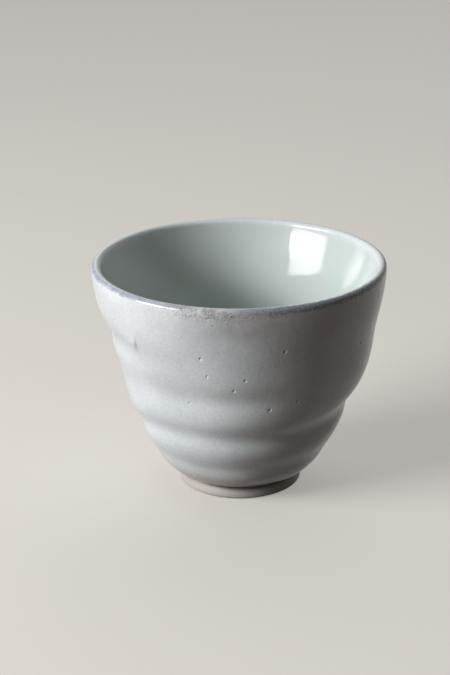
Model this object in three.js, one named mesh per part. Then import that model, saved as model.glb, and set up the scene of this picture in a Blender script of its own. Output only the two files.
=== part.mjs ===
// A small hand-thrown stoneware drinking cup: a flared wall with finger grooves, on a low foot ring,
// under a pale glaze that is a band of its own on the lip and stops short of the edge it stands on.
// Millimetres, +Z up. The origin is the middle of the circle that the foot stands on.

import * as THREE from "three";

// Overall sizes
const CUP_HEIGHT = 52.4; // table to the top of the lip
const RIM_RADIUS = 33; // glazed outside of the wall where the lip starts
const FOOT_RADIUS = 13.9; // glazed outside of the foot ring, at the table
const FOOT_FLARE = 0.6; // how much narrower the foot is where it meets the wall
const FOOT_HEIGHT = 3; // table to the glazed underside of the wall, at the foot

// The wall's flare, seen from the side
const FLARE_ANGLE = 6.5; // degrees above level at which the wall leaves the foot
const FLARE_PULL = 10.2; // how far the wall holds that direction
const LIP_ANGLE = 1; // degrees off upright at which the wall reaches the lip
const LIP_PULL = 7.5; // how far below the lip the wall takes up that direction

// Thickness through the clay and both coats of glaze
const FLOOR_THICKNESS = 4.8;
const WALL_THICKNESS = 4.6; // at WALL_MIDDLE
const WALL_MIDDLE = 0.5; // share of the way from the foot to the lip
const LIP_THICKNESS = 2.2;
const LIP_TAPER = 2.4; // how suddenly the wall thins towards the lip
const FLOOR_DISH = 0.7; // how much lower the middle of the inside is than its edge

// Glaze
const GLAZE_THICKNESS = 0.45;
const GLAZE_GAP = 0.1; // a coat to the clay behind it, and a coat to the next coat
const LIP_BAND = 1.8; // how far the lip's coat reaches down each side of the wall

// Foot ring
const FOOT_RING_WIDTH = 3.6; // at the table
const FOOT_EDGE = 0.5; // bevel of its standing edges
const FOOT_BARE = 0.2; // bare clay left above the table, outside
const FOOT_JOINT = 0.1; // slip between the ring and the clay that it is luted to

// The wall bulges on one side, where it was pushed out on the wheel
const BULGE = { height: 29.6, depth: 1.1, side: 23, reach: 6.3 };

// Finger grooves, bottom to top. Each has a mean height, a first and a second swing in height as it goes
// round, a depth, a deeper side, which is narrower the higher its focus, and the reach of its slopes.
// Sides are degrees from +X towards +Y.
const GROOVES = [
  {
    height: 9.7, swing: 0.3, swingSide: 280, sway: 0, swaySide: 0,
    depth: 0.15, deeper: 0.45, deeperSide: 262, focus: 2, reach: 2.4,
  },
  {
    height: 17.7, swing: 3.6, swingSide: -30, sway: 2.1, swaySide: 36,
    depth: 0.9, deeper: 0.2, deeperSide: 17, focus: 1, reach: 2.8,
  },
  {
    height: 29.2, swing: 0, swingSide: 0, sway: 0, swaySide: 0,
    depth: 0, deeper: 0.45, deeperSide: 262, focus: 8, reach: 2.8,
  },
  {
    height: 37.9, swing: 0, swingSide: 0, sway: 0, swaySide: 0,
    depth: 0.1, deeper: 1.35, deeperSide: 186, focus: 10, reach: 3.5,
  },
];
const INSIDE_SHARE = 0.3; // how much of a groove's depth shows on the inside

// Facets
const SEGMENTS = 40; // around the cup
const OUTSIDE_STEPS = 22; // up the outside, below the lip band
const INSIDE_STEPS = 13; // up the inside, below the lip band
const BAND_STEPS = 2; // up each side of the lip band
const LIP_STEPS = 6; // over the half circle of the lip
const FLOOR_STEPS = 3; // from the edge of the inside's floor to its middle

const CLAY_INSET = GLAZE_THICKNESS + GLAZE_GAP; // glazed face to the clay's face

const clay = new THREE.MeshStandardMaterial({ color: 0x9c8672, roughness: 0.85, metalness: 0 });
const outsideGlaze = new THREE.MeshStandardMaterial({ color: 0xd3d7d7, roughness: 0.28, metalness: 0 });
const insideGlaze = new THREE.MeshStandardMaterial({ color: 0xd0d6d0, roughness: 0.15, metalness: 0 });
const lipGlaze = new THREE.MeshStandardMaterial({ color: 0xa5a9b3, roughness: 0.2, metalness: 0 });

const radians = THREE.MathUtils.degToRad;

// A soft hollow or swelling: 1 at the middle and fading to nothing within about twice its reach
function bell(distance, reach) {
  return Math.exp(-((distance / reach) ** 2));
}

// How far a finger groove presses the wall in, at a height and an angle round the cup
function grooveDepth(groove, height, angle) {
  const swing = groove.swing * Math.cos(angle - radians(groove.swingSide));
  const sway = groove.sway * Math.cos(2 * (angle - radians(groove.swaySide)));
  const facing = (1 + Math.cos(angle - radians(groove.deeperSide))) / 2;
  const depth = groove.depth + groove.deeper * facing ** groove.focus;
  return depth * bell(height - groove.height - swing - sway, groove.reach);
}

// How far the wall stands out from its plain turned shape: the bulge, less this face's share of the grooves
function handMarks(height, angle, share) {
  const facing = Math.cos(angle - radians(BULGE.side));
  const bulge = BULGE.depth * bell(height - BULGE.height, BULGE.reach) * facing;
  return GROOVES.reduce((out, groove) => out - share * grooveDepth(groove, height, angle), bulge);
}

// The foot's glazed outside, which narrows from the table to the wall
function footRadius(height) {
  return FOOT_RADIUS - (FOOT_FLARE * height) / FOOT_HEIGHT;
}

// The wall's glazed outside as a curve of radius and height, from the foot to where the lip starts
const lipLean = radians(LIP_ANGLE);
const wallFoot = new THREE.Vector2(footRadius(FOOT_HEIGHT) - GLAZE_THICKNESS / 2, FOOT_HEIGHT);
const wallTop = new THREE.Vector2(RIM_RADIUS, CUP_HEIGHT - (LIP_THICKNESS / 2) * (1 + Math.sin(lipLean)));
const leavesFoot = new THREE.Vector2(Math.cos(radians(FLARE_ANGLE)), Math.sin(radians(FLARE_ANGLE)));
const reachesLip = new THREE.Vector2(Math.sin(lipLean), Math.cos(lipLean));
const wallCurve = new THREE.CubicBezierCurve(
  wallFoot,
  wallFoot.clone().addScaledVector(leavesFoot, FLARE_PULL),
  wallTop.clone().addScaledVector(reachesLip, -LIP_PULL),
  wallTop,
);
const bandStart = 1 - LIP_BAND / wallCurve.getLength();
const coatEnd = bandStart - GLAZE_GAP / wallCurve.getLength();

// Evenly spaced shares of the way along the wall, both ends included
function steps(from, to, count) {
  return Array.from({ length: count + 1 }, (_, i) => THREE.MathUtils.lerp(from, to, i / count));
}
const outsideSteps = steps(0, coatEnd, OUTSIDE_STEPS);
const insideSteps = steps(0, coatEnd, INSIDE_STEPS);
const bandSteps = steps(bandStart, 1, BAND_STEPS);

// Thickness of the wall, eased from the floor to the middle, then thinning faster and faster to the lip
function thickness(along) {
  const { lerp, smoothstep } = THREE.MathUtils;
  const upper = (along - WALL_MIDDLE) / (1 - WALL_MIDDLE);
  return upper < 0
    ? lerp(FLOOR_THICKNESS, WALL_THICKNESS, smoothstep(along, 0, WALL_MIDDLE))
    : lerp(WALL_THICKNESS, LIP_THICKNESS, upper ** LIP_TAPER);
}

// A point below the wall's glazed outside. It keeps the height of the outside over it and its share of
// the grooves, so that the clay and the coats stay parallel where the wall is pressed.
function wallPoint(along, depth, share) {
  const spot = wallCurve.getPointAt(along);
  const tangent = wallCurve.getTangentAt(along);
  return { r: spot.x - tangent.y * depth, z: spot.y + tangent.x * depth, height: spot.y, share };
}

// The outside going up, set in from the glazed face
function outsideWall(shares, inset) {
  return shares.map((along) => wallPoint(along, inset, 1));
}

// The inside going down, set in from the glazed face
function insideWall(shares, inset) {
  return shares.toReversed().map((along) => wallPoint(along, thickness(along) - inset, INSIDE_SHARE));
}

// The half circle over the lip from the outside to the inside, set in from the glazed face
function lipArc(inset) {
  const middle = wallPoint(1, LIP_THICKNESS / 2, 1);
  const radius = LIP_THICKNESS / 2 - inset;
  return steps(0, Math.PI, LIP_STEPS)
    .slice(1, -1)
    .map((turn) => ({
      ...middle,
      r: middle.r + radius * Math.cos(turn - lipLean),
      z: middle.z + radius * Math.sin(turn - lipLean),
    }));
}

// The dished floor of the inside, from the wall's first point to the axis, set in from the glazed face
function insideFloor(inset) {
  const edge = wallPoint(0, FLOOR_THICKNESS - inset, 0);
  return steps(1, 0, FLOOR_STEPS)
    .slice(1)
    .map((share) => ({ ...edge, r: edge.r * share, z: edge.z - FLOOR_DISH * (1 - share ** 2) }));
}

// A ring or a disc with no hand marks, from its radius and height pairs
function turned(pairs) {
  return pairs.map(([r, z]) => ({ r, z, height: 0, share: 0 }));
}

// The facets of a turned profile, two to a square. Their diagonals lean the same way where the profile
// goes up and where it goes down, so that the two faces at a gap have the same facets.
function facets(profile) {
  const index = [];
  for (let turn = 0; turn < SEGMENTS; turn++) {
    for (let i = 0; i < profile.length - 1; i++) {
      const here = turn * profile.length + i;
      const beside = here + profile.length;
      const corners = [here, beside, beside + 1, here + 1];
      const order = profile[i + 1].z > profile[i].z ? [0, 1, 3, 2, 3, 1] : [0, 1, 2, 0, 2, 3];
      index.push(...order.map((corner) => corners[corner]));
    }
  }
  return index;
}

// Turns a profile round the axis, then moves each point in or out by the marks that the hand left there
function thrown(name, profile, material) {
  const outline = profile.map((point) => new THREE.Vector2(point.r, point.z));
  const geometry = new THREE.LatheGeometry(outline, SEGMENTS).rotateX(Math.PI / 2);
  geometry.setIndex(facets(profile));
  const position = geometry.getAttribute("position");
  for (let i = 0; i < position.count; i++) {
    const point = profile[i % profile.length];
    if (point.r > 0) {
      const angle = Math.atan2(position.getY(i), position.getX(i));
      const radius = point.r + handMarks(point.height, angle, point.share);
      position.setXY(i, radius * Math.cos(angle), radius * Math.sin(angle));
    }
  }
  geometry.computeVertexNormals();
  const mesh = new THREE.Mesh(geometry, material);
  mesh.name = name;
  return mesh;
}

// A profile that ends where it began
function closed(profile) {
  return [...profile, profile[0]];
}

// The thrown body: flat under the foot, up the outside, over the lip and down to the floor
const clayUnderside = wallPoint(0, CLAY_INSET, 0).z;
const clayBody = thrown(
  "clay_body",
  [
    ...turned([[0, clayUnderside]]),
    ...outsideWall([...outsideSteps, ...bandSteps], CLAY_INSET),
    ...lipArc(CLAY_INSET),
    ...insideWall([...insideSteps, ...bandSteps], CLAY_INSET),
    ...insideFloor(CLAY_INSET),
  ],
  clay,
);

// The foot ring, with its standing edges taken off
const ringInside = FOOT_RADIUS - CLAY_INSET - FOOT_RING_WIDTH;
const ringTop = clayUnderside - FOOT_JOINT;
const footRing = thrown(
  "foot_ring",
  closed(
    turned([
      [ringInside, FOOT_EDGE],
      [ringInside + FOOT_EDGE, 0],
      [footRadius(0) - CLAY_INSET - FOOT_EDGE, 0],
      [footRadius(FOOT_EDGE) - CLAY_INSET, FOOT_EDGE],
      [footRadius(ringTop) - CLAY_INSET, ringTop],
      [ringInside, ringTop],
    ]),
  ),
  clay,
);

// The coat on the outside of the wall
const outerGlaze = thrown(
  "outer_glaze",
  closed([...outsideWall(outsideSteps, 0), ...outsideWall(outsideSteps, GLAZE_THICKNESS).reverse()]),
  outsideGlaze,
);

// The liner on the inside of the wall and the floor
const innerGlaze = thrown(
  "inner_glaze",
  [
    ...[...insideWall(insideSteps, GLAZE_THICKNESS), ...insideFloor(GLAZE_THICKNESS)].reverse(),
    ...insideWall(insideSteps, 0),
    ...insideFloor(0),
  ],
  insideGlaze,
);

// The band over the lip, where the glaze ran thin
const lipFace = [...outsideWall(bandSteps, 0), ...lipArc(0), ...insideWall(bandSteps, 0)];
const lipBack = [
  ...outsideWall(bandSteps, GLAZE_THICKNESS),
  ...lipArc(GLAZE_THICKNESS),
  ...insideWall(bandSteps, GLAZE_THICKNESS),
];
const lipBand = thrown("lip_glaze", closed([...lipFace, ...lipBack.reverse()]), lipGlaze);

// The coat on the outside of the foot, above its bare edge
const footCoatTop = FOOT_HEIGHT - GLAZE_GAP;
const footGlaze = thrown(
  "foot_glaze",
  closed(
    turned([
      [footRadius(FOOT_BARE) - GLAZE_THICKNESS, FOOT_BARE],
      [footRadius(FOOT_BARE), FOOT_BARE],
      [footRadius(footCoatTop), footCoatTop],
      [footRadius(footCoatTop) - GLAZE_THICKNESS, footCoatTop],
    ]),
  ),
  outsideGlaze,
);

// The pool of glaze in the hollow of the foot
const poolRadius = ringInside - GLAZE_GAP;
const poolTop = clayUnderside - GLAZE_GAP;
const baseGlaze = thrown(
  "base_glaze",
  turned([
    [0, poolTop - GLAZE_THICKNESS],
    [poolRadius, poolTop - GLAZE_THICKNESS],
    [poolRadius, poolTop],
    [0, poolTop],
  ]),
  outsideGlaze,
);

const cup = new THREE.Group();
cup.name = "cup";
cup.add(clayBody, footRing, outerGlaze, innerGlaze, lipBand, footGlaze, baseGlaze);

export default cup;
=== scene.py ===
# %% [markdown]
# # A small hand-thrown cup
#
# The real cup is two pieces of fired stoneware, the thrown body and the ring it stands on, under one skin
# of pale glaze. Hardly any clay shows, so most of this lesson is about that skin: its finger grooves and
# pinholes, the way it runs thin over the lip, and the bare edge that it leaves on the foot.
#
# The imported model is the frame. It holds the true sizes, and every surface here is worked out from them.

import bmesh
import bpy
import numpy as np
from mathutils import Matrix, Vector


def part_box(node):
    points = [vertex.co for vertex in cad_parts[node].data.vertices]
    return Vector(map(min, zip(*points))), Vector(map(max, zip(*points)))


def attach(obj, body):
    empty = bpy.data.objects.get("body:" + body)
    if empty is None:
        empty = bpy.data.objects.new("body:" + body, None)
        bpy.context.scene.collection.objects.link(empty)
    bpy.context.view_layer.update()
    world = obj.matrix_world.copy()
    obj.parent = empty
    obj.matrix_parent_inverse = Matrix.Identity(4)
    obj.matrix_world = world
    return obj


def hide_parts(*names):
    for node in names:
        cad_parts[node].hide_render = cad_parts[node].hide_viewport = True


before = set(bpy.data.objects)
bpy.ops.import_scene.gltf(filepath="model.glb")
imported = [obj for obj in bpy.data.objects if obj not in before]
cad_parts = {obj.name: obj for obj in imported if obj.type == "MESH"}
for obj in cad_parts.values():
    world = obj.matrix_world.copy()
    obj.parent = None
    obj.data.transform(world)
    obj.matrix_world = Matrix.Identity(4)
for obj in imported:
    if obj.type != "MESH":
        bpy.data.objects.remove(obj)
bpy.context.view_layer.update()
print("frame nodes:", ", ".join(sorted(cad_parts)))

# %% [markdown]
# ## Sizes
#
# What the frame can tell is read from it: the rim, the foot and the thickness of the glaze. The values
# that only the solids' own drawing holds, such as the angle at which the wall leaves the foot, are written
# here once more. Everything is in millimetres until a mesh is made.

# %% Sizes
MM = 0.001  # a millimetre, in Blender's metres


def corner(node, which):
    """Lowest (0) or highest (1) corner of one of the frame's nodes, in millimetres."""
    return np.array(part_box(node)[which]) / MM


RIM_RADIUS = corner("lip_glaze", 1)[0]
CUP_HEIGHT = corner("lip_glaze", 1)[2]
POOL_RADIUS, _, POOL_TOP = corner("base_glaze", 1)
POOL_LOW = corner("base_glaze", 0)[2]
RING_TOP = corner("foot_ring", 1)[2]
GLAZE_GAP = 0.1
GLAZE_THICKNESS = POOL_TOP - POOL_LOW
RING_INSIDE = POOL_RADIUS + GLAZE_GAP
CLAY_INSET = GLAZE_THICKNESS + GLAZE_GAP
FOOT_BARE = corner("foot_glaze", 0)[2]  # bare clay above the table
FOOT_HEIGHT = corner("foot_glaze", 1)[2] + GLAZE_GAP
FOOT_FLARE = 0.6  # how much narrower the foot is where it meets the wall
FOOT_RADIUS = corner("foot_glaze", 1)[0] + FOOT_FLARE * FOOT_BARE / FOOT_HEIGHT

FLARE_ANGLE = np.radians(6.5)  # above level, where the wall leaves the foot
FLARE_PULL = 10.2  # how far the wall holds that direction
LIP_ANGLE = np.radians(1)  # off upright, where the wall reaches the lip
LIP_PULL = 7.5  # how far below the lip it takes up that direction
FLOOR_THICKNESS = 4.8
WALL_THICKNESS = 4.6
LIP_THICKNESS = 2.2
LIP_TAPER = 2.4  # how suddenly the wall thins towards the lip
FLOOR_DISH = 0.7  # how much lower the middle of the floor is than its edge


def foot_radius(height):
    """The foot's glazed outside, which narrows evenly from the table to the wall."""
    return FOOT_RADIUS - FOOT_FLARE * height / FOOT_HEIGHT


print(f"rim {2 * RIM_RADIUS:.1f} mm across, foot {2 * FOOT_RADIUS:.1f} mm, height {CUP_HEIGHT:.1f} mm")

# %% [markdown]
# ## The wall, seen from the side
#
# A thrower pulls the wall up and out in one movement, so one cubic curve draws its outside: it leaves the
# foot nearly level and reaches the lip nearly upright. A spline through many points could follow the same
# line, but four points keep the sweep clean, and the hand marks are added to it afterwards.
#
# The curve is measured once, so that later steps can ask for a point so many millimetres up the wall.

# %% Wall curve
LIP_RADIUS = LIP_THICKNESS / 2
wall_foot = np.array([foot_radius(FOOT_HEIGHT) - GLAZE_THICKNESS / 2, FOOT_HEIGHT])
wall_top = np.array([RIM_RADIUS, CUP_HEIGHT - LIP_RADIUS * (1 + np.sin(LIP_ANGLE))])
wall_controls = np.array(
    [
        wall_foot,
        wall_foot + FLARE_PULL * np.array([np.cos(FLARE_ANGLE), np.sin(FLARE_ANGLE)]),
        wall_top - LIP_PULL * np.array([np.sin(LIP_ANGLE), np.cos(LIP_ANGLE)]),
        wall_top,
    ]
)


def bezier(share):
    """Radius and height on the curve: its four points weighted by the terms of (1 - share + share) cubed."""
    rest = 1 - share
    weights = np.stack([rest**3, 3 * rest**2 * share, 3 * rest * share**2, share**3], axis=-1)
    return weights @ wall_controls


MEASURED_STEPS = 2000
wall_shares = np.linspace(0, 1, MEASURED_STEPS + 1)
wall_chords = np.linalg.norm(np.diff(bezier(wall_shares), axis=0), axis=1)
wall_lengths = np.concatenate([[0], np.cumsum(wall_chords)])
WALL_LENGTH = wall_lengths[-1]


def wall_point(along, depth):
    """A point under the wall's outside, along up the curve and depth square to it: radius and height."""
    share = np.interp(along, wall_lengths, wall_shares)
    nearby = np.array([-1, 1]) / MEASURED_STEPS
    ends = bezier(np.clip(share[..., None] + nearby, 0, 1))
    direction = ends[..., 1, :] - ends[..., 0, :]
    direction /= np.linalg.norm(direction, axis=-1, keepdims=True)
    inward = np.stack([-direction[..., 1], direction[..., 0]], axis=-1)
    return bezier(share) + np.asarray(depth)[..., None] * inward


def ease(value):
    """0 to 1 with level ends: three squares less two cubes."""
    value = np.clip(value, 0, 1)
    return value**2 * (3 - 2 * value)


def wall_thickness(along):
    """Eased from the floor's thickness to the wall's half way up, then ever faster down to the lip's."""
    share = along / WALL_LENGTH
    low = FLOOR_THICKNESS + (WALL_THICKNESS - FLOOR_THICKNESS) * ease(2 * share)
    return low + (LIP_THICKNESS - WALL_THICKNESS) * np.maximum(2 * share - 1, 0) ** LIP_TAPER


print(f"wall {WALL_LENGTH:.1f} mm from foot to lip")

# %% [markdown]
# ## Hand marks
#
# On the wheel, fingers press soft grooves into the turning wall. The middle one wanders up and down as it
# goes round, the lower one is clear at the front only, and the two upper ones are short: a faint one at the
# front and the dent of a thumb at the left. One side of the wall also bulges, where the other hand pushed
# it out. Sculpting could draw these, but a formula keeps the solids, the clay and the glaze in step: all of
# them move in or out by the same function of height and angle.

# %% Hand marks
BULGE = {"height": 29.6, "depth": 1.1, "side": 23, "reach": 6.3}
GROOVES = [
    {
        "height": 9.7, "swing": 0.3, "swing_side": 280, "sway": 0, "sway_side": 0,
        "depth": 0.15, "deeper": 0.45, "deeper_side": 262, "focus": 2, "reach": 2.4,
    },
    {
        "height": 17.7, "swing": 3.6, "swing_side": -30, "sway": 2.1, "sway_side": 36,
        "depth": 0.9, "deeper": 0.2, "deeper_side": 17, "focus": 1, "reach": 2.8,
    },
    {
        "height": 29.2, "swing": 0, "swing_side": 0, "sway": 0, "sway_side": 0,
        "depth": 0, "deeper": 0.45, "deeper_side": 262, "focus": 8, "reach": 2.8,
    },
    {
        "height": 37.9, "swing": 0, "swing_side": 0, "sway": 0, "sway_side": 0,
        "depth": 0.1, "deeper": 1.35, "deeper_side": 186, "focus": 10, "reach": 3.5,
    },
]
INSIDE_SHARE = 0.3  # how much of a groove shows on the inside


def bell(distance, reach):
    """1 at the middle, fading to nothing within about twice the reach: e to the minus square."""
    return np.exp(-((distance / reach) ** 2))


def groove_depth(groove, height, angle):
    """A bell across the groove's wandering line, as deep as its side says."""
    swing = groove["swing"] * np.cos(angle - np.radians(groove["swing_side"]))
    sway = groove["sway"] * np.cos(2 * (angle - np.radians(groove["sway_side"])))
    facing = (1 + np.cos(angle - np.radians(groove["deeper_side"]))) / 2
    depth = groove["depth"] + groove["deeper"] * facing ** groove["focus"]
    return depth * bell(height - groove["height"] - swing - sway, groove["reach"])


def hand_marks(height, angle, share):
    """How far the wall stands out from its plain turned shape: the bulge, less a share of the grooves."""
    bulge = BULGE["depth"] * bell(height - BULGE["height"], BULGE["reach"])
    out = bulge * np.cos(angle - np.radians(BULGE["side"]))
    return out - share * sum(groove_depth(groove, height, angle) for groove in GROOVES)


deepest = max(groove["depth"] + groove["deeper"] for groove in GROOVES)
print(f"{len(GROOVES)} grooves, the deepest {deepest:.2f} mm, and a bulge of {BULGE['depth']:.1f} mm")

# %% [markdown]
# ## Profiles
#
# Every piece of the cup is a profile carried round the axis. A profile is a chain of stretches, each a
# short list of points with four numbers: radius, height, the height of the outside face over the point,
# which the hand marks go by, and the share of the grooves that shows there. Profiles run so that the
# outside of the piece is on their left, which makes all faces point outwards.

# %% Profile stretches
STRETCH_POINTS = 120


def stretch(points, height=0.0, share=0.0):
    """Radius and height pairs with the height and the share that the hand marks need, as four columns."""
    points = np.asarray(points, float)
    extra = np.stack(np.broadcast_arrays(height, share, points[:, 0]), axis=1)[:, :2]
    return np.hstack([points, extra])


def outside_wall(inset, start=0.0):
    """The outside from the lip down to start, set in from the glazed face."""
    along = np.linspace(WALL_LENGTH, start, STRETCH_POINTS)
    outside_height = wall_point(along, np.zeros_like(along))[:, 1]
    return stretch(wall_point(along, np.full_like(along, inset)), outside_height, 1)


def inside_wall(inset):
    """The inside from the floor up to the lip, set in from the glazed face."""
    along = np.linspace(0, WALL_LENGTH, STRETCH_POINTS)
    outside_height = wall_point(along, np.zeros_like(along))[:, 1]
    return stretch(wall_point(along, wall_thickness(along) - inset), outside_height, INSIDE_SHARE)


def lip_arc(inset):
    """Half a circle over the lip from the inside to the outside, set in from the glazed face."""
    middle = wall_point(np.array(WALL_LENGTH), LIP_RADIUS)
    turn = np.linspace(np.pi, 0, STRETCH_POINTS) - LIP_ANGLE
    circle = np.stack([np.cos(turn), np.sin(turn)], axis=1)
    return stretch(middle + (LIP_RADIUS - inset) * circle, wall_top[1], 1)


def inside_floor(inset):
    """The dished floor from the axis to the wall: lower by the dish times one less the radius squared."""
    edge = wall_point(np.array(0.0), FLOOR_THICKNESS - inset)
    share = np.linspace(0, 1, STRETCH_POINTS)
    return stretch(np.stack([edge[0] * share, edge[1] - FLOOR_DISH * (1 - share**2)], axis=1))


def straight(start, end):
    """A straight stretch with no hand marks."""
    share = np.linspace(0, 1, STRETCH_POINTS)[:, None]
    return stretch(np.asarray(start) * (1 - share) + np.asarray(end) * share)


def rounded(start, corner_point, end):
    """A quadratic curve that leaves start and reaches end along the sides of the corner between them."""
    share = np.linspace(0, 1, STRETCH_POINTS)[:, None]
    rest = 1 - share
    sides = np.asarray(start) * rest**2 + np.asarray(end) * share**2
    return stretch(sides + 2 * rest * share * np.asarray(corner_point))


# %% Chain of stretches
def chain(stretches):
    """Joins stretches, each with its row spacing: the points, their distances along, and where rows lie."""
    points = np.concatenate([part for part, _ in stretches])
    steps = np.linalg.norm(np.diff(points[:, :2], axis=0), axis=1)
    along = np.concatenate([[0], np.cumsum(steps)])
    ends = along[np.cumsum([len(part) for part, _ in stretches]) - 1]
    starts = np.concatenate([[0], ends[:-1]])
    rows = [
        np.linspace(start, end, max(2, round((end - start) / spacing)), endpoint=False)
        for start, end, (_, spacing) in zip(starts, ends, stretches)
    ]
    return points, along, np.concatenate(rows + [along[-1:]]), ends


# %% [markdown]
# ## From a profile to a mesh
#
# Blender's Screw modifier could spin a profile, but here each point also moves by the marks at its angle.
# So a flat grid of two parameters, distance along the profile and angle round the cup, is mapped to space
# by one function of whole arrays. The grid's last column lands on its first, and a row on the axis shrinks
# to a point, so both are merged afterwards.

# %% Flat grid
SEAM = np.radians(304)  # the grid's first column, clear of every pinhole


def flat_grid(rows, columns):
    """The parameters of a grid, rows along the profile and columns once round, and its four-sided faces."""
    angles = SEAM + np.linspace(0, 2 * np.pi, columns + 1)
    along, angle = np.meshgrid(rows, angles, indexing="ij")
    index = np.arange(along.size).reshape(along.shape)
    corners = [index[:-1, :-1], index[1:, :-1], index[1:, 1:], index[:-1, 1:]]
    return along.ravel(), angle.ravel(), np.stack(corners, axis=-1).reshape(-1, 4)


def flat_mesh(name, along, angle, faces):
    """A mesh that still lies flat: distance along the profile as X, and the angle as Y."""
    mesh = bpy.data.meshes.new(name)
    flat = np.stack([along, angle, np.zeros_like(along)], axis=1)
    mesh.from_pydata(flat, [], faces)
    return mesh


def parameters(mesh):
    """Reads the two parameters back from a flat mesh."""
    flat = np.empty(3 * len(mesh.vertices), np.float32)
    mesh.vertices.foreach_get("co", flat)
    flat = flat.reshape(-1, 3).astype(float)
    return flat[:, 0], flat[:, 1]


# %% Carried round the axis
HEADING_STEP = 0.02  # each way along a profile, to find its direction
LEAST_LENGTH = 1e-9  # so that a direction is never divided by nothing
AXIS_STILL = 4  # radius within which the marks fade out, so that the axis stays where it is


def profile_values(profile, along):
    """Radius, height, outside height, share and outward direction at distances along a profile."""
    points, distances, _, _ = profile
    values = [np.interp(along, distances, column) for column in points.T]
    ahead, behind = (
        np.stack([np.interp(along + step, distances, column) for column in points[:, :2].T])
        for step in (HEADING_STEP, -HEADING_STEP)
    )
    heading = ahead - behind
    heading /= np.maximum(np.linalg.norm(heading, axis=0), LEAST_LENGTH)
    return (*values, -heading[1], heading[0])


def round_the_axis(profile, along, angle, proud=0.0):
    """The surface in millimetres: the profile at each angle, moved by the hand marks, then set proud."""
    radius, height, outside_height, share, out_radius, out_height = profile_values(profile, along)
    free = ease(radius / AXIS_STILL)
    radius = radius + free * (hand_marks(outside_height, angle, share) + proud * out_radius)
    height = height + free * proud * out_height
    return np.stack([radius * np.cos(angle), radius * np.sin(angle), height], axis=1)


# %% A piece in its place
MERGE = 1e-6  # metres between points that become one


def add_piece(mesh, place, marks, material):
    """Maps a flat mesh to its place, stores its marks, closes its seams and makes it an object."""
    mesh.vertices.foreach_set("co", (place * MM).astype(np.float32).ravel())
    for name, values in marks.items():
        mesh.attributes.new(name, "FLOAT", "POINT").data.foreach_set("value", values.astype(np.float32))
    shell = bmesh.new()
    shell.from_mesh(mesh)
    bmesh.ops.remove_doubles(shell, verts=shell.verts, dist=MERGE)
    volume = shell.calc_volume(signed=True)
    open_edges = sum(not edge.is_manifold for edge in shell.edges)
    shell.to_mesh(mesh)
    shell.free()
    mesh.shade_smooth()
    mesh.materials.append(material)
    piece = bpy.data.objects.new(mesh.name, mesh)
    bpy.context.scene.collection.objects.link(piece)
    triangles = sum(len(face.vertices) - 2 for face in mesh.polygons)
    print(f"{mesh.name}: {triangles} triangles, {volume / MM**3:.0f} cubic mm, {open_edges} open edges")
    return piece


# %% [markdown]
# ## Recipes and finishes
#
# A material is a chain of small nodes, and so is the light of the sky. The first helper below adds one node
# per call, so that each chain reads as a recipe. The second holds what only a material has. Its patterns
# use Object coordinates, in metres, so a scale of 1000 makes a feature about one millimetre wide, and they
# stay where they are when the cup is turned or moved.

# %% Recipe helper
def srgb(red, green, blue):
    """A colour as a picture editor gives it, 0 to 255, in Blender's linear values."""
    value = np.array([red, green, blue]) / 255
    linear = np.where(value <= 0.04045, value / 12.92, ((value + 0.055) / 1.055) ** 2.4)
    return (*linear.tolist(), 1.0)


class Recipe:
    """A node tree under construction."""

    def __init__(self, tree):
        self.tree = tree

    def put(self, socket, value):
        """Sets a socket to a value, or links it to another node's output."""
        if isinstance(value, bpy.types.NodeSocket):
            self.tree.links.new(value, socket)
        else:
            socket.default_value = value

    def add(self, kind, output, inputs=(), **settings):
        """Adds a node and gives back one of its outputs."""
        node = self.tree.nodes.new(kind)
        for name, value in settings.items():
            setattr(node, name, value)
        for key, value in dict(inputs).items():
            self.put(node.inputs[key], value)
        return node.outputs[output]

    def math(self, operation, first, second):
        """One operation on two numbers."""
        return self.add("ShaderNodeMath", 0, {0: first, 1: second}, operation=operation)

    def times(self, first, second):
        """The product of two numbers."""
        return self.math("MULTIPLY", first, second)

    def between(self, value, low, high, to_low=0.0, to_high=1.0):
        """Eases a value from to_low at low to to_high at high."""
        inputs = {"Value": value, "From Min": low, "From Max": high, "To Min": to_low, "To Max": to_high}
        return self.add("ShaderNodeMapRange", 0, inputs, interpolation_type="SMOOTHSTEP")

    def blend(self, amount, first, second):
        """Mixes two colours."""
        return self.add("ShaderNodeMix", 2, {0: amount, 6: first, 7: second}, data_type="RGBA")

    def shown(self):
        """1 for what is seen, straight, mirrored or through glass, and 0 for light that bounces."""
        kinds = ("Is Camera Ray", "Is Glossy Ray", "Is Transmission Ray")
        seen, mirrored, passed = (self.add("ShaderNodeLightPath", kind) for kind in kinds)
        return self.math("MAXIMUM", self.math("MAXIMUM", seen, mirrored), passed)


# %% Finish helper
SHADER_SOCKETS = {
    "base_color": "Base Color",
    "roughness": "Roughness",
    "normal": "Normal",
    "ior": "IOR",
    "specular": "Specular IOR Level",
    "emission_color": "Emission Color",
    "emission_strength": "Emission Strength",
}


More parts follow.
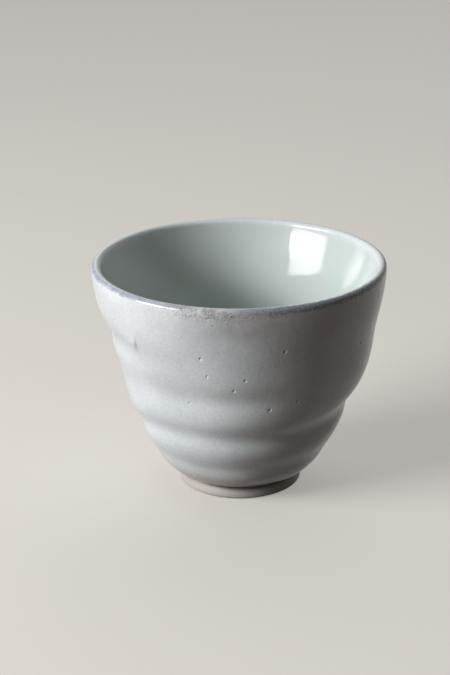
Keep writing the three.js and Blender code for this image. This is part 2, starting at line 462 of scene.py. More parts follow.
class Finish(Recipe):
    """A material under construction, around its Principled shader."""

    def __init__(self, name):
        self.material = bpy.data.materials.new(name)
        self.material.use_nodes = True
        super().__init__(self.material.node_tree)
        self.shader = self.tree.nodes["Principled BSDF"]
        self.place = self.add("ShaderNodeTexCoord", "Object")

    def mark(self, name):
        """One of the piece's own marks, stored on its points."""
        return self.add("ShaderNodeAttribute", "Fac", attribute_name=name)

    def noise(self, scale, detail=2.0, roughness=0.5):
        """Soft noise from 0 to 1, most of it near a half."""
        inputs = {"Vector": self.place, "Scale": scale, "Detail": detail, "Roughness": roughness}
        return self.add("ShaderNodeTexNoise", 0, inputs)

    def cells(self, scale, output):
        """Scattered cells: the distance from the middle of the nearest one, or its random colour."""
        inputs = {"Vector": self.place, "Scale": scale}
        return self.add("ShaderNodeTexVoronoi", output, inputs)

    def specks(self, scale, size, density, core=0.6):
        """Dots at the middles of scattered cells: a cell has one where its random value is below density."""
        near = self.between(self.cells(scale, "Distance"), size, size * core)
        chance = self.add("ShaderNodeSeparateColor", 0, {0: self.cells(scale, "Color")})
        return self.times(near, self.math("LESS_THAN", chance, density))

    def finish(self, **sockets):
        """Sets or links the shader's own sockets, and gives back the material."""
        for name, value in sockets.items():
            self.put(self.shader.inputs[SHADER_SOCKETS[name]], value)
        print(f"{self.material.name}: {len(self.tree.nodes)} nodes")
        return self.material


# %% [markdown]
# ## The finish of the glaze
#
# The glaze is a thick, milky glass over clay that fired brown-grey. Where it lies thick it hides the clay
# and looks cool white. Where it ran thin, over the lip, the clay shades it slate and cream, and on the
# lamp's side at the left the band is painted a paler lavender, as painted light. Low on the wall and on the
# foot a darker warm grey is painted shade, the foot is less shiny, and a brown band in the notch above the
# foot is painted shade as well. Iron in the clay bleeds through as pepper specks, most of all under the lip
# at the front, with rust between them and a warm patch below.
#
# A painted texture could show all that, but it would be tied to one unwrapping. Instead the piece stores a
# few marks on its points, such as the distance from the lip, and noise roughens their edges. The fine
# orange-peel of the surface shades the colour a little as well as the bump, and the inside is smoother.

# %% Glaze on the wall
PALE_GLAZE = srgb(219, 224, 226)
SHADED_GLAZE = srgb(201, 208, 211)
LINER_GLAZE = srgb(188, 197, 194)
WARM_GLAZE = srgb(150, 143, 144)
HEALED = srgb(150, 148, 147)
CLOUD_SCALE = 90
CLOUD_AMOUNT = 0.5  # the rest of the shading is fine
HEALED_SCALE = 560
HEALED_AMOUNT = 0.25
WALL_START = 2.0  # millimetres from the lip's crest to where the wall's own marks are full
# Parts of a noise's range round a half: the narrower the part, the sharper the patches
SHARP = (0.35, 0.65)
CLEAR = (0.3, 0.7)
SOFT = (0.25, 0.75)
SOFTEST = (0.2, 0.8)


def wall_colour(finish, peel, mottle, from_lip, inside):
    """Cool white in clouds, with the liner inside, grey healed pinholes and the warm patch outside."""
    clouds = finish.between(finish.noise(CLOUD_SCALE, detail=4), *SHARP)
    fine_shade = finish.between(peel, *SHARP, to_high=1 - CLOUD_AMOUNT)
    shade = finish.math("ADD", finish.times(clouds, CLOUD_AMOUNT), fine_shade)
    colour = finish.blend(shade, PALE_GLAZE, SHADED_GLAZE)
    colour = finish.blend(inside, colour, LINER_GLAZE)
    healed_spots = finish.specks(HEALED_SCALE, size=0.22, density=0.1, core=0.1)
    healed = finish.times(healed_spots, HEALED_AMOUNT)
    outside = finish.between(from_lip, 0.0, WALL_START)
    colour = finish.blend(finish.times(healed, outside), colour, HEALED)
    warm = finish.times(finish.mark("warm"), finish.between(mottle, *SOFTEST, to_low=0.45, to_high=0.75))
    return finish.blend(warm, colour, WARM_GLAZE)


# %% Glaze over the lip
LIP_GLAZE = srgb(106, 115, 128)
# painted light: the paler lavender of the lip's band on the lamp's side
LIP_LIT_LAVENDER = srgb(186, 190, 206)
CREAM = srgb(214, 208, 208)
STREAK_SCALE = 160
STREAKS = (0.3, 0.6)  # the part of the noise that makes them
PATCH_SCALE = 420
PATCHES = (0.35, 0.6)
LIP_AMOUNT = 0.9
LIP_RAGGED = 0.45  # how far the grain pushes the edge of the lip's band each way
LIP_FULL = 1.35  # how far the band then goes to be at its fullest


def lip_over(finish, colour, thin, grain):
    """Slate and cream where the glaze is thin, with a ragged edge; the paler lavender on the lamp's side is
    painted light.
    """
    streaky = finish.between(finish.noise(STREAK_SCALE, detail=3), *STREAKS)
    lip_colour = finish.blend(finish.times(finish.mark("lamp_side_lip"), streaky), LIP_GLAZE, LIP_LIT_LAVENDER)
    patchy = finish.between(finish.noise(PATCH_SCALE), *PATCHES, to_low=0.3)
    lip_colour = finish.blend(finish.times(finish.mark("cream"), patchy), lip_colour, CREAM)
    spread = finish.between(grain, *SOFT, to_low=-LIP_RAGGED, to_high=LIP_RAGGED)
    ragged = finish.math("ADD", finish.times(thin, LIP_FULL), spread)
    band = finish.between(ragged, LIP_RAGGED, LIP_FULL, to_high=LIP_AMOUNT)
    return finish.blend(band, colour, lip_colour)


# %% Glaze at the foot
# Painted shade: a darker warm grey low on the wall and on the foot, and a brown band in the notch under the
# wall's overhang
LOW_SHADE_GREY = srgb(156, 148, 143)
FOOT_SHADE_GREY = srgb(178, 171, 166)
FOOT_SHADE_AMOUNT = 0.9
NOTCH_SHADE = srgb(96, 82, 72)


def foot_over(finish, colour, foot, mottle, grain):
    """Painted shade: darker and warmer low on the wall and on the foot, and a brown band in the notch
    between them.
    """
    mottled = finish.between(mottle, *SOFTEST, to_low=0.5, to_high=0.8)
    colour = finish.blend(finish.times(finish.mark("low_wall_shade"), mottled), colour, LOW_SHADE_GREY)
    colour = finish.blend(finish.times(foot, FOOT_SHADE_AMOUNT), colour, FOOT_SHADE_GREY)
    notch_shading = finish.between(grain, *SOFT, to_low=0.6, to_high=0.95)
    return finish.blend(finish.times(finish.mark("notch"), notch_shading), colour, NOTCH_SHADE)


# %% Iron in the glaze
IRON = srgb(56, 46, 43)
RUST = srgb(132, 119, 114)
RUST_SCALE = 1400
FINE_SPECK_SCALE = 3200
FINE_SPECK_AMOUNT = 0.65
LARGE_SPECK_SCALE = 1500
LARGE_SPECK_SHARE = 0.1  # how likely a large speck is, to a fine one
PINHOLE_AMOUNT = 0.9
PINHOLE_EDGE = 0.3  # how strong a pinhole's mark is where its stain ends


def iron_over(finish, colour):
    """Rust, fine and large specks where there is pepper, and dark pinholes."""
    pepper = finish.mark("pepper")
    rust = finish.between(finish.noise(RUST_SCALE, detail=3), *SHARP, to_low=0.1, to_high=0.6)
    colour = finish.blend(finish.times(pepper, rust), colour, RUST)
    fine_specks = finish.specks(FINE_SPECK_SCALE, size=0.46, density=pepper)
    colour = finish.blend(finish.times(fine_specks, FINE_SPECK_AMOUNT), colour, IRON)
    few = finish.times(pepper, LARGE_SPECK_SHARE)
    colour = finish.blend(finish.specks(LARGE_SPECK_SCALE, size=0.3, density=few), colour, IRON)
    dark = finish.between(finish.mark("pinhole"), PINHOLE_EDGE, 1.0, to_high=PINHOLE_AMOUNT)
    return finish.blend(dark, colour, IRON)


# %% Glaze finish
GLAZE_IOR = 1.5
MOTTLE_SCALE = 350
PEEL_SCALE = 1500
PEEL_DEPTH = 0.00008  # metres
GRAIN_SCALE = 2200
SATIN_SCALE = 260
SMOOTHER = 0.12  # how much less rough the inside and the lip are
FOOT_ROUGHER = 0.35  # how much rougher the foot is
LINER_START = -3.0  # millimetres from the lip's crest to where the liner's colour is full


def glaze_finish():
    """The pale glaze: its colour in four layers, then its gloss and its orange-peel."""
    finish = Finish("pale_glaze")
    from_lip = finish.mark("from_lip")
    thin = finish.mark("thin")
    foot = finish.mark("foot")
    inside = finish.between(from_lip, 0.0, LINER_START)
    mottle = finish.noise(MOTTLE_SCALE)
    peel = finish.noise(PEEL_SCALE, detail=3, roughness=0.6)
    grain = finish.noise(GRAIN_SCALE, detail=3, roughness=0.6)

    colour = wall_colour(finish, peel, mottle, from_lip, inside)
    colour = lip_over(finish, colour, thin, grain)
    colour = foot_over(finish, colour, foot, mottle, grain)
    colour = iron_over(finish, colour)

    satin = finish.between(finish.noise(SATIN_SCALE, detail=3), *CLEAR, to_low=0.17, to_high=0.25)
    smooth = finish.times(finish.math("MAXIMUM", inside, thin), SMOOTHER)
    rough = finish.times(foot, FOOT_ROUGHER)
    roughness = finish.math("ADD", finish.math("SUBTRACT", satin, smooth), rough)
    dimpled = finish.between(from_lip, -WALL_START, WALL_START, to_low=0.1, to_high=0.6)
    bump = finish.add("ShaderNodeBump", 0, {"Strength": dimpled, "Distance": PEEL_DEPTH, "Height": peel})
    return finish.finish(base_color=colour, roughness=roughness, normal=bump, ior=GLAZE_IOR)


pale_glaze = glaze_finish()

# %% [markdown]
# ## The coat of glaze
#
# Liner, lip, outside and foot were poured and dipped separately, but they melted into one skin in the
# kiln, so here they are one closed shell. Its profile starts on the axis at the floor, climbs the inside,
# goes over the lip and down the outside, turns in under the wall and out again onto the foot, and ends in
# the rolled edge that molten glaze draws itself into. From there it returns along the clay.
#
# The shell needs a fine grid at the lip and the foot and a coarse one where nobody looks, so each stretch
# has its own row spacing.

# %% Coat profile
NOTCH_TUCK = (0.1, 0.01)  # how far in and down the notch lies from the curve's own end
NOTCH_ROUND = 0.35  # how far the glaze rounds the notch between the wall and the foot
FOOT_SWELL = 0.9  # height above the table where the foot is widest
OUT_AND_DOWN = np.array([1, -1])

notch = wall_foot - NOTCH_TUCK
notch_start = outside_wall(0, NOTCH_ROUND)[-1, :2]
notch_end = notch + NOTCH_ROUND * np.sqrt(0.5) * OUT_AND_DOWN
face_corner = notch + (FOOT_RADIUS - notch[0]) * OUT_AND_DOWN
face_widest = np.array([FOOT_RADIUS, FOOT_SWELL])
roll_end = np.array([foot_radius(FOOT_BARE) - GLAZE_THICKNESS, FOOT_BARE])
back_corner = wall_point(np.array(0.0), GLAZE_THICKNESS)
back_corner[0] = foot_radius(FOOT_HEIGHT) - GLAZE_THICKNESS

coat = chain(
    [
        (inside_floor(0), 1.3),
        (inside_wall(0), 1.2),
        (lip_arc(0), 0.2),
        (outside_wall(0, NOTCH_ROUND), 0.62),
        (rounded(notch_start, notch, notch_end), 0.1),
        (rounded(notch_end, face_corner, face_widest), 0.14),
        (rounded(face_widest, [FOOT_RADIUS, FOOT_BARE], roll_end), 0.1),
        (straight(roll_end, back_corner), 0.8),
        (outside_wall(GLAZE_THICKNESS)[::-1], 4),
        (lip_arc(GLAZE_THICKNESS)[::-1], 0.5),
        (inside_wall(GLAZE_THICKNESS)[::-1], 4),
        (inside_floor(GLAZE_THICKNESS)[::-1], 4),
    ]
)
coat_points, coat_along, coat_rows, coat_ends = coat
INSIDE_END, LIP_END, WALL_END, NOTCH_END, SWELL_END, FACE_END = coat_ends[1:7]
LIP_CREST = (INSIDE_END + LIP_END) / 2
print(f"coat profile {coat_along[-1]:.0f} mm, {len(coat_rows)} rows, face {FACE_END:.0f} mm")

# %% [markdown]
# ## Pinholes
#
# Gas leaves the clay in the kiln and bursts through the melt, and some of the craters do not heal. They
# are half a millimetre across, so at the photographed side they are placed one by one, by the angle round
# the cup and the height above the table. The rest of the cup gets its own from a seeded generator, which
# gives the same ones in each run. A healed one leaves a grey spot, and an open one is a real dimple in the
# mesh. The grid is too coarse for them, so the faces around each one are cut finer while the grid is flat.

# %% Pinholes
PINHOLES = [
    # degrees from +X towards +Y, millimetres above the table, radius in millimetres, and 0 healed to 1 open
    (254, 40.5, 0.2, 1), (256, 36.2, 0.17, 1), (271.8, 35.4, 0.23, 1), (267, 32.6, 0.23, 1),
    (245.5, 28.2, 0.2, 0.8), (283.2, 27.2, 0.24, 1), (287.2, 42, 0.23, 1), (296, 28.5, 0.2, 1),
    (271, 31.7, 0.22, 0), (298.2, 32, 0.2, 0), (219.8, 48.3, 0.2, 0), (247.8, 48.3, 0.2, 0),
    (257.8, 50.3, 0.2, 0.5), (243, 45.7, 0.15, 0), (269.5, 44.9, 0.16, 0), (249, 43, 0.15, 0),
    (273.2, 39.2, 0.16, 0), (253.5, 31.1, 0.15, 0), (261.8, 30.8, 0.15, 0),
]
RANDOM_SEED = 4
SCATTERED_PINHOLES = 26
SCATTER_LOW = (310, 14, 0.16, 0)  # the same four numbers at their least
SCATTER_HIGH = (570, 49, 0.28, 2)  # and at their most, where the last is then rounded down

random = np.random.default_rng(RANDOM_SEED)
scattered = random.uniform(SCATTER_LOW, SCATTER_HIGH, (SCATTERED_PINHOLES, 4))
scattered[:, 3] = np.floor(scattered[:, 3])
pinholes = np.concatenate([np.array(PINHOLES), scattered])
print(f"{len(pinholes)} pinholes, {len(PINHOLES)} of them placed by hand")

# %% Distance from the pinholes
wall_first, wall_last = np.searchsorted(coat_along, [LIP_END, WALL_END])
outside_heights = coat_points[wall_first:wall_last, 1][::-1]
outside_distances = coat_along[wall_first:wall_last][::-1]


def pinhole_distances(along, angle):
    """Each point's distance from each pinhole, measured on the wall, in radii of that pinhole."""
    middle = np.interp(pinholes[:, 1], outside_heights, outside_distances)
    radius = profile_values(coat, middle)[0]
    turn = (angle[:, None] - np.radians(pinholes[:, 0]) + np.pi) % (2 * np.pi) - np.pi
    return np.hypot(turn * radius, along[:, None] - middle) / pinholes[:, 2]


# %% Finer grid
PINHOLE_REACH = 2.8  # radii around a pinhole that get the fine grid
PINHOLE_CUTS = 5  # cuts across each of those faces


def refine(mesh, near):
    """Cuts the edges of the marked faces of a flat mesh, and those faces into a fine grid."""
    flat = bmesh.new()
    flat.from_mesh(mesh)
    edges = {edge for face in flat.faces if near[face.index] for edge in face.edges}
    bmesh.ops.subdivide_edges(flat, edges=list(edges), cuts=PINHOLE_CUTS, use_grid_fill=True)
    bmesh.ops.triangulate(flat, faces=[face for face in flat.faces if len(face.verts) > 4])
    flat.to_mesh(mesh)
    flat.free()


# %% [markdown]
# ## The skin of the glaze
#
# A hand-made surface is never quite true. A sum of slow waves, each with a whole number of turns round the
# cup so that it closes on itself, makes reflections waver. Inside, the last pass of the fingers left a
# spiral of faint rings. On the left the thumb lifted off and left a short ridge across the upper groove.

# %% Waves and rings
WAVES = 24
WAVE_HEIGHT = 0.025  # of all of them together, on average
WAVE_TURNS = (1, 12)  # crests of a wave in one turn round the cup: the least, and one above the most
WAVE_LENGTHS = (9, 40)  # along the profile
RING_SPACING = 2.6  # of the finger rings on the inside
RING_HEIGHT = 0.012
RINGS_LIP = 6  # how far inside the lip's crest the rings end
RINGS_FADE = (10, 8)  # over how far they fade, at the floor's middle and at the lip
wave_turns = random.integers(*WAVE_TURNS, WAVES)
wave_lengths = random.uniform(*WAVE_LENGTHS, WAVES) * random.choice([-1, 1], WAVES)
wave_starts = random.uniform(0, 2 * np.pi, WAVES)
print(f"{WAVES} slow waves, the longest {np.abs(wave_lengths).max():.0f} mm")


def slow_waves(along, angle):
    """Cosines of whole turns round the cup and of the distance along it, each with its own start."""
    phase = np.outer(angle, wave_turns) + np.outer(along, 2 * np.pi / wave_lengths) + wave_starts
    return WAVE_HEIGHT * np.sqrt(2 / WAVES) * np.cos(phase).sum(axis=1)


def finger_rings(along, angle):
    """A spiral on the inside: a cosine of the distance along, which gains one ring in each turn."""
    from_floor, from_lip = RINGS_FADE
    inside = ease((LIP_CREST - RINGS_LIP - along) / from_lip) * ease(along / from_floor)
    return inside * RING_HEIGHT * np.cos(2 * np.pi * along / RING_SPACING + angle)


# %% Thumb ridge
RIDGE = {"side": 222.6, "lean": 0.4, "height": 40.6, "half_length": 1.7, "width": 1, "rise": 0.28}
RIDGE_FLANKS = (2, 0.5)  # its left and its right flank, times its width


def turn_from(angle, side):
    """Degrees between an angle and a side, the short way round."""
    return (np.degrees(angle) - side + 180) % 360 - 180


def across_ridge(height, angle, radius):
    """Millimetres across the ridge's leaning line, to its right, and along it, upwards."""
    up = height - RIDGE["height"]
    turn = np.radians(turn_from(angle, RIDGE["side"] + RIDGE["lean"] * up))
    return turn * radius, up


def thumb_ridge(height, angle, radius):
    """A short ridge that leans: gentle on its left flank and steep on its right one."""
    across, up = across_ridge(height, angle, radius)
    flank = bell(across, RIDGE["width"] * np.where(across < 0, *RIDGE_FLANKS))
    return RIDGE["rise"] * flank * bell(up, RIDGE["half_length"])


# %% Skin
PINHOLE_DEPTH = 1.3  # times the radius
LIP_TRUE = 3  # how far from the lip's crest the ridge and the pinholes are at their full height
FOOT_TRUE = 2  # how far above the foot's widest place the skin starts to fade


def skin(along, angle):
    """How far the glazed face stands proud: waves, rings and ridge, less the pinholes."""
    radius, height, *_ = profile_values(coat, along)
    on_wall = ease((along - LIP_CREST) / LIP_TRUE)
    depths = PINHOLE_DEPTH * pinholes[:, 2] * pinholes[:, 3]
    dimples = (depths * bell(pinhole_distances(along, angle), 1)).sum(axis=1)
    proud = slow_waves(along, angle) + finger_rings(along, angle)
    proud += on_wall * (thumb_ridge(height, angle, radius) - dimples)
    return proud * ease((SWELL_END - along) / FOOT_TRUE)


# %% [markdown]
# ## Marks for the finish
#
# The finish needs to know where the lip is, where the glaze is thin and where iron comes through. These
# are worked out from the same two parameters and stored on the mesh's points.

# %% Marks
THIN_OUTSIDE = (0.7, 2.2)  # from the lip's crest: where the glaze starts to thicken, and where it is thick
THIN_INSIDE = (-0.4, 0.6)
# Partly painted shade: the band covers the crest at the front, where the near crest lies in shade, and
# starts further out at the back.
THIN_BACK = 0.9  # how much further out the band starts at the back of the lip
WIDE_LIP = {"side": 302, "half_width": 34, "further": 0.7}  # where the band reaches further down
PEPPER = [
    # iron specks under the lip: where they are thickest, and how far they reach each way
    {"side": 262, "half_width": 15, "down": 2.1, "reach": 1, "density": 0.9},
    {"side": 280, "half_width": 9, "down": 2, "reach": 0.45, "density": 0.95},
]
PEPPER_ROUND = 0.03  # the few that follow the lip all round
PEPPER_WALL = 0.002  # the fewer on the rest of the wall
# painted light: round the lamp's side the lip's band is painted paler
LAMP_SIDE_LIP = {"side": 200, "half_width": 48}
CREAM_LIP = {"side": 256, "half_width": 13}
WARM_PATCH = {"side": 272, "half_width": 20, "height": 48.2, "half_height": 4.4}
LOW_SHADE_HEIGHT = 11  # height below which the wall is painted darker towards the foot, as painted shade
FOOT_START = 0.6  # how far below the wall the foot's painted shade and its roughness are full
NOTCH_SHADE_REACH = 0.8  # of the painted shade in the notch, each way
PINHOLE_STAIN = 0.7  # radius of the dark bottom of a pinhole, times its own
HEALED_STAIN = 0.6  # how dark a healed pinhole is, to an open one


def glaze_marks(along, angle):
    """What the finish needs to know at each point, each from 0 to 1 but for the distance from the lip."""
    height = profile_values(coat, along)[1]
    from_lip = along - LIP_CREST
    wide = WIDE_LIP["further"] * bell(turn_from(angle, WIDE_LIP["side"]), WIDE_LIP["half_width"])
    thick_out = ease((from_lip - wide - THIN_OUTSIDE[0]) / (THIN_OUTSIDE[1] - THIN_OUTSIDE[0]))
    back = THIN_BACK * (1 + np.sin(angle)) / 2
    thick_in = ease((back - from_lip - THIN_INSIDE[0]) / (THIN_INSIDE[1] - THIN_INSIDE[0]))
    pepper = PEPPER_WALL + PEPPER_ROUND * bell(from_lip - PEPPER[0]["down"], PEPPER[0]["reach"])
    for zone in PEPPER:
        near = bell(turn_from(angle, zone["side"]), zone["half_width"])
        pepper = pepper + zone["density"] * near * bell(from_lip - zone["down"], zone["reach"])
    patch = bell(turn_from(angle, WARM_PATCH["side"]), WARM_PATCH["half_width"])
    patch = patch * bell(height - WARM_PATCH["height"], WARM_PATCH["half_height"])
    outside = (along > LIP_CREST) & (along < FACE_END)
    darkness = HEALED_STAIN + (1 - HEALED_STAIN) * pinholes[:, 3]
    stains = darkness * bell(pinhole_distances(along, angle), PINHOLE_STAIN)
    return {
        "from_lip": np.where(along < FACE_END, from_lip, 0),
        "thin": 1 - np.maximum(thick_out, thick_in),
        # painted shade low on the wall, on the foot and in the notch; the foot's mark also sets its
        # roughness
        "low_wall_shade": outside * ease((LOW_SHADE_HEIGHT - height) / (LOW_SHADE_HEIGHT - FOOT_HEIGHT)),
        "foot": ease((along - WALL_END) / FOOT_START),
        "notch": bell(along - NOTCH_END, NOTCH_SHADE_REACH),
        "pepper": outside * np.minimum(pepper, 1),
        # painted light: where the lip's band is painted paler, on the lamp's side
        "lamp_side_lip": bell(turn_from(angle, LAMP_SIDE_LIP["side"]), LAMP_SIDE_LIP["half_width"]),
        "cream": bell(turn_from(angle, CREAM_LIP["side"]), CREAM_LIP["half_width"]),
        "warm": outside * patch,
        "pinhole": outside * stains.max(axis=1),
    }


# %% [markdown]
# ## Making the coat
#
# The flat grid is cut finer round the pinholes and the ridge, and only then mapped to its place, so that
# the new points follow the formula too. A Displace modifier could raise the skin afterwards, but its
# points would be those of the coarse grid.

# %% Coat of glaze
COAT_COLUMNS = 300
grid_along, grid_angle, grid_faces = flat_grid(coat_rows, COAT_COLUMNS)
coat_mesh = flat_mesh("glaze_coat", grid_along, grid_angle, grid_faces)
face_along = grid_along[grid_faces].mean(axis=1)
face_angle = grid_angle[grid_faces].mean(axis=1)
near_pinhole = pinhole_distances(face_along, face_angle).min(axis=1) < PINHOLE_REACH
face_radius, face_height, *_ = profile_values(coat, face_along)
ridge_across, ridge_up = across_ridge(face_height, face_angle, face_radius)
near_ridge = (np.abs(ridge_across) < RIDGE["width"]) & (np.abs(ridge_up) < 2 * RIDGE["half_length"])
on_outside = (face_along > LIP_END) & (face_along < WALL_END)
refine(coat_mesh, on_outside & (near_pinhole | near_ridge))
coat_s, coat_t = parameters(coat_mesh)
coat_place = round_the_axis(coat, coat_s, coat_t, np.where(coat_s < FACE_END, skin(coat_s, coat_t), 0))
glaze_coat = add_piece(coat_mesh, coat_place, glaze_marks(coat_s, coat_t), pale_glaze)
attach(glaze_coat, "root")
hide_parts("outer_glaze", "lip_glaze", "inner_glaze", "foot_glaze")

# %% [markdown]
# ## The clay
#
# The clay is a coarse stoneware, brown-grey where it is bare, with lighter and darker grains of grog in it.
# It is matt, and turning has left fine rings on the foot. Two kinds of specks and a slow drift of colour
# are enough for it, with a bump that follows the grains.

# %% Clay finish
CLAY = srgb(158, 136, 114)
CLAY_DARK = srgb(134, 112, 92)
GROG_PALE = srgb(190, 174, 154)
GROG_DARK = srgb(88, 70, 58)
DRIFT_SCALE = 180
CLAY_GRAIN_SCALE = 2600
PALE_GROG_SCALE = 1800
DARK_GROG_SCALE = 1300
GRAIN_DEPTH = 0.0001  # metres
GRAIN_STRENGTH = 0.5


def clay_finish():
    """Bare stoneware: a drift of colour, pale and dark grog, and a matt, grainy face."""
    finish = Finish("bare_clay")
    drift = finish.between(finish.noise(DRIFT_SCALE, detail=4), *CLEAR)
    grain = finish.noise(CLAY_GRAIN_SCALE, detail=3, roughness=0.65)
    colour = finish.blend(drift, CLAY, CLAY_DARK)
    colour = finish.blend(finish.specks(PALE_GROG_SCALE, size=0.3, density=0.2), colour, GROG_PALE)
    colour = finish.blend(finish.specks(DARK_GROG_SCALE, size=0.28, density=0.16), colour, GROG_DARK)
    roughness = finish.between(grain, *CLEAR, to_low=0.78, to_high=0.95)
    grainy = {"Strength": GRAIN_STRENGTH, "Distance": GRAIN_DEPTH, "Height": grain}
    bump = finish.add("ShaderNodeBump", 0, grainy)
    return finish.finish(base_color=colour, roughness=roughness, normal=bump)


bare_clay = clay_finish()

# %% [markdown]
# ## The thrown body
#
# The body is the same profile again, set in by the glaze and its gap, and closed flat under the foot. The
# glaze covers it all, but it is there for whoever takes the cup apart, so it has its grooves too.

# %% Thrown body
CLAY_COLUMNS = 120
clay_under = wall_point(np.array(0.0), CLAY_INSET)
body = chain(
    [
        (inside_floor(CLAY_INSET), 2),
        (inside_wall(CLAY_INSET), 1.5),
        (lip_arc(CLAY_INSET), 0.3),
        (outside_wall(CLAY_INSET), 1.5),
        (straight(clay_under, [0, clay_under[1]]), 2),
    ]
)
body_mesh = flat_mesh("thrown_body", *flat_grid(body[2], CLAY_COLUMNS))
body_place = round_the_axis(body, *parameters(body_mesh))
thrown_body = add_piece(body_mesh, body_place, {}, bare_clay)
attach(thrown_body, "root")
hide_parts("clay_body")

# %% [markdown]
# ## The ring it stands on
#
# The foot ring is turned with a loop tool when the clay is leather-hard, then its standing face is wiped
# clean of glaze. The edges are worn round, and the tool leaves shallow rings on the face. The rings are cut
# upwards into the clay, so that the ring still stands at height zero.

# %% Standing ring
RING_ROUND = 0.6  # worn edges
TOOL_MARK = 0.05  # depth of a turning ring
TOOL_SPACING = 0.55  # from one turning ring to the next
TOOL_FADE = 0.3  # from the edges of the face
TOOL_WANDER = {1: 0.6, 3: 0.4}  # waves in a turn round the ring, and how far each shifts the rings
RING_COLUMNS = 200
ring_foot = foot_radius(0) - GLAZE_THICKNESS
ring_low = np.array([foot_radius(RING_ROUND) - GLAZE_THICKNESS, RING_ROUND])
ring_high = np.array([foot_radius(RING_TOP) - CLAY_INSET, RING_TOP])
ring_profile = chain(
    [
        (straight(ring_high, ring_low), 0.5),
        (rounded(ring_low, [ring_foot, 0], [ring_foot - RING_ROUND, 0]), 0.12),
        (straight([ring_foot - RING_ROUND, 0], [RING_INSIDE + RING_ROUND, 0]), 0.1),
        (rounded([RING_INSIDE + RING_ROUND, 0], [RING_INSIDE, 0], [RING_INSIDE, RING_ROUND]), 0.12),
        (straight([RING_INSIDE, RING_ROUND], [RING_INSIDE, RING_TOP]), 0.5),
        (straight([RING_INSIDE, RING_TOP], ring_high), 0.8),
    ]
)


def tool_marks(along, angle):
    """Rings on the standing face: half a cosine deep, shifting slowly as they go round."""
    start, end = ring_profile[3][1:3]
    on_face = ease((along - start) / TOOL_FADE) * ease((end - along) / TOOL_FADE)
    wander = sum(shift * np.cos(waves * angle) for waves, shift in TOOL_WANDER.items())
    return -on_face * TOOL_MARK * (0.5 - 0.5 * np.cos(2 * np.pi * along / TOOL_SPACING + wander))


ring_mesh = flat_mesh("standing_ring", *flat_grid(ring_profile[2], RING_COLUMNS))
ring_s, ring_t = parameters(ring_mesh)
ring_place = round_the_axis(ring_profile, ring_s, ring_t, tool_marks(ring_s, ring_t))
standing_ring = add_piece(ring_mesh, ring_place, {}, bare_clay)
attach(standing_ring, "root")
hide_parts("foot_ring")

# %% [markdown]
# ## The pool in the foot
#
# The hollow of the foot was glazed with the tip of a brush. Molten glaze clings to the ring, so the pool is
# level in the middle and curls down at its edge.

# %% Foot pool
MENISCUS = 0.4  # how far the pool's edge hangs down
MENISCUS_REACH = 0.6  # how far from the ring it still hangs by a third of that
POOL_COLUMNS = 120
POOL_FROM_LIP = 30  # far enough from the lip for the colour of the wall
LEVEL = 0.001  # a point this near to a height lies at it
pool_profile = chain(
    [
        (straight([0, POOL_TOP], [POOL_RADIUS, POOL_TOP]), 1),
        (straight([POOL_RADIUS, POOL_TOP], [POOL_RADIUS, POOL_LOW]), 0.2),
        (straight([POOL_RADIUS, POOL_LOW], [0, POOL_LOW]), 0.25),
    ]
)
pool_mesh = flat_mesh("foot_pool", *flat_grid(pool_profile[2], POOL_COLUMNS))
pool_s, pool_t = parameters(pool_mesh)
pool_place = round_the_axis(pool_profile, pool_s, pool_t)
pool_reach = np.hypot(pool_place[:, 0], pool_place[:, 1])
pool_under = pool_place[:, 2] < POOL_LOW + LEVEL
pool_place[:, 2] -= pool_under * MENISCUS * np.exp((pool_reach - POOL_RADIUS) / MENISCUS_REACH)
pool_place[:, 2] += pool_under * ease(pool_reach / AXIS_STILL) * slow_waves(pool_s, pool_t)
pool_marks = {"from_lip": np.full_like(pool_s, POOL_FROM_LIP)}
foot_pool = add_piece(pool_mesh, pool_place, pool_marks, pale_glaze)
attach(foot_pool, "root")
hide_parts("base_glaze")

# %% [markdown]
# ## The table
#
# Light from a table would fill the grooves from below, so this plain one is dark to the light that bounces
# off it. To the camera, and in the glaze's reflections, it is pale. A part of that is a glow of its own, so
# that it stays under white in front of the lamp, and the rest is lit, so that it keeps the cup's shadow.

# %% Table
TABLE_HALF = 2.0  # metres
TABLE_DARK = srgb(72, 61, 54)
TABLE_LIT = srgb(172, 168, 163)
TABLE_PALE = srgb(206, 202, 196)
TABLE_GLOW = 0.52
table_corners = TABLE_HALF * np.array([(-1, -1, 0), (1, -1, 0), (1, 1, 0), (-1, 1, 0)])
table_mesh = bpy.data.meshes.new("table")
table_mesh.from_pydata(table_corners, [], [(0, 1, 2, 3)])
table = bpy.data.objects.new("table", table_mesh)
bpy.context.scene.collection.objects.link(table)


def table_finish():
    """Dark to the light that bounces off it, and pale, with a glow, to what is seen."""
    finish = Finish("table_top")
    shown = finish.shown()
    return finish.finish(
        base_color=finish.blend(shown, TABLE_DARK, TABLE_LIT),
        roughness=1.0,
        specular=0.0,
        emission_color=TABLE_PALE,
        emission_strength=finish.times(shown, TABLE_GLOW),
    )


table_mesh.materials.append(table_finish())
print(f"table {2 * TABLE_HALF:.0f} m wide")

# %% [markdown]
# ## The light
#
# One broad lamp at the left and a weak sky. The lamp stands somewhat towards the viewer, so that its
# reflection lies on the right of the inside. It has two panels, one over the other: the inside mirrors only
# the lower one, so that one is kept weak enough for the glaze around its reflection, and the upper one
# lights the wall. A narrow spread keeps most of their light off the table in front of the lamp. The sky is
# brighter behind the cup, so that the side that the lamp misses shows its glaze too.

# %% Lamp
PANELS = [(9, 20, 9.2), (20, 32, 33)]  # degrees above level, from and to, and watts per square metre
PANEL_SIDE = np.radians(203.5)
PANEL_WIDTH = 0.47  # metres
PANEL_AWAY = 0.8  # metres
PANEL_SPREAD = np.radians(110)
cup_middle = Vector((0, 0, CUP_HEIGHT * MM / 2))


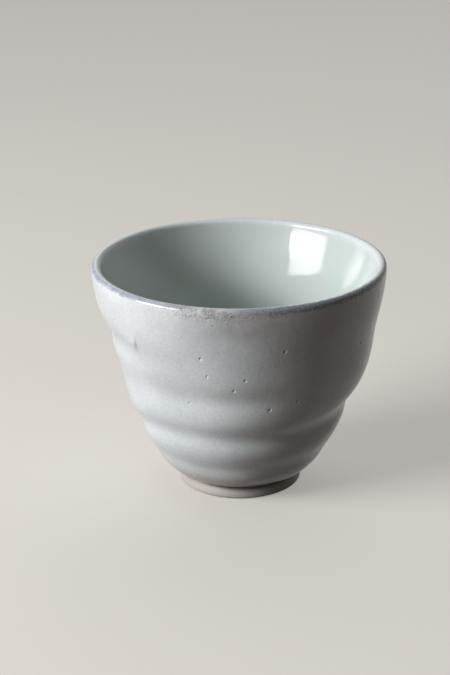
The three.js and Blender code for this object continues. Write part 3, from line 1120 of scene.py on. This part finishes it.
def way(side, rise):
    """The direction of a side round the cup and a rise above level."""
    return Vector((np.cos(side) * np.cos(rise), np.sin(side) * np.cos(rise), np.sin(rise)))


def lamp_panel(low, high, power):
    """A lamp that faces the cup from between two rises."""
    data = bpy.data.lights.new("lamp_panel", "AREA")
    data.shape = "RECTANGLE"
    data.spread = PANEL_SPREAD
    data.size = PANEL_WIDTH
    data.size_y = 2 * PANEL_AWAY * np.tan((high - low) / 2)
    data.energy = power * data.size * data.size_y
    panel = bpy.data.objects.new("lamp_panel", data)
    panel_way = way(PANEL_SIDE, (low + high) / 2)
    panel.location = cup_middle + PANEL_AWAY * panel_way
    panel.rotation_euler = panel_way.to_track_quat("Z", "Y").to_euler()
    bpy.context.scene.collection.objects.link(panel)


for low, high, power in PANELS:
    lamp_panel(np.radians(low), np.radians(high), power)

print(f"{len(PANELS)} lamp panels, {PANEL_AWAY:.1f} m away")

# %% Sky
SKY_FAR = (0.024, 0.019, 0.016, 1)  # weak and a little warm, outside the brighter sides
SKY_SIDES = [
    # where the sky is brighter: the middle's side and rise, the cosine at its edge, and how bright
    {"side": 205, "rise": 42, "edge": 0.3, "light": (0.08, 0.08, 0.08, 1)},
    {"side": 78, "rise": 20, "edge": 0.4, "light": (1.3, 1.3, 1.3, 1)},
]
SKY_PALE = srgb(186, 183, 178)

sky = bpy.data.worlds.new("sky")
sky.use_nodes = True
recipe = Recipe(sky.node_tree)
direction = recipe.add("ShaderNodeTexCoord", "Generated")
sky_light = SKY_FAR
for side in SKY_SIDES:
    middle = {0: direction, 1: way(np.radians(side["side"]), np.radians(side["rise"]))}
    towards = recipe.add("ShaderNodeVectorMath", "Value", middle, operation="DOT_PRODUCT")
    sky_light = recipe.blend(recipe.between(towards, side["edge"], 1.0), sky_light, side["light"])
background = sky.node_tree.nodes["Background"]
recipe.put(background.inputs["Color"], recipe.blend(recipe.shown(), sky_light, SKY_PALE))
bpy.context.scene.world = sky
bpy.context.scene.view_settings.view_transform = "Standard"
print(f"sky with {len(SKY_SIDES)} brighter sides")

# %% [markdown]
# ## The camera
#
# The camera looks down at the cup from the front with a long lens. Its place and tilt were found from the
# ellipses of the rim and the foot: how flat they look gives the tilt, and how much the flatness differs
# between them gives the distance.

# %% Camera
CAMERA_AT = Vector((-3.3, -397.5, 184.7)) * MM
CAMERA_DROP = np.radians(20.76)  # below level
CAMERA_ROLL = np.radians(-0.5)
CAMERA_LENS = 100
CAMERA_SENSOR = 36
camera_data = bpy.data.cameras.new("camera")
camera_data.lens = CAMERA_LENS
camera_data.sensor_width = CAMERA_SENSOR
camera = bpy.data.objects.new("camera", camera_data)
tilt = Matrix.Rotation(np.pi / 2 - CAMERA_DROP, 4, "X")
camera.matrix_world = Matrix.Translation(CAMERA_AT) @ tilt @ Matrix.Rotation(CAMERA_ROLL, 4, "Z")
bpy.context.scene.collection.objects.link(camera)
bpy.context.scene.camera = camera
print(f"camera {CAMERA_AT.length:.2f} m from the cup's foot, lens {CAMERA_LENS} mm")
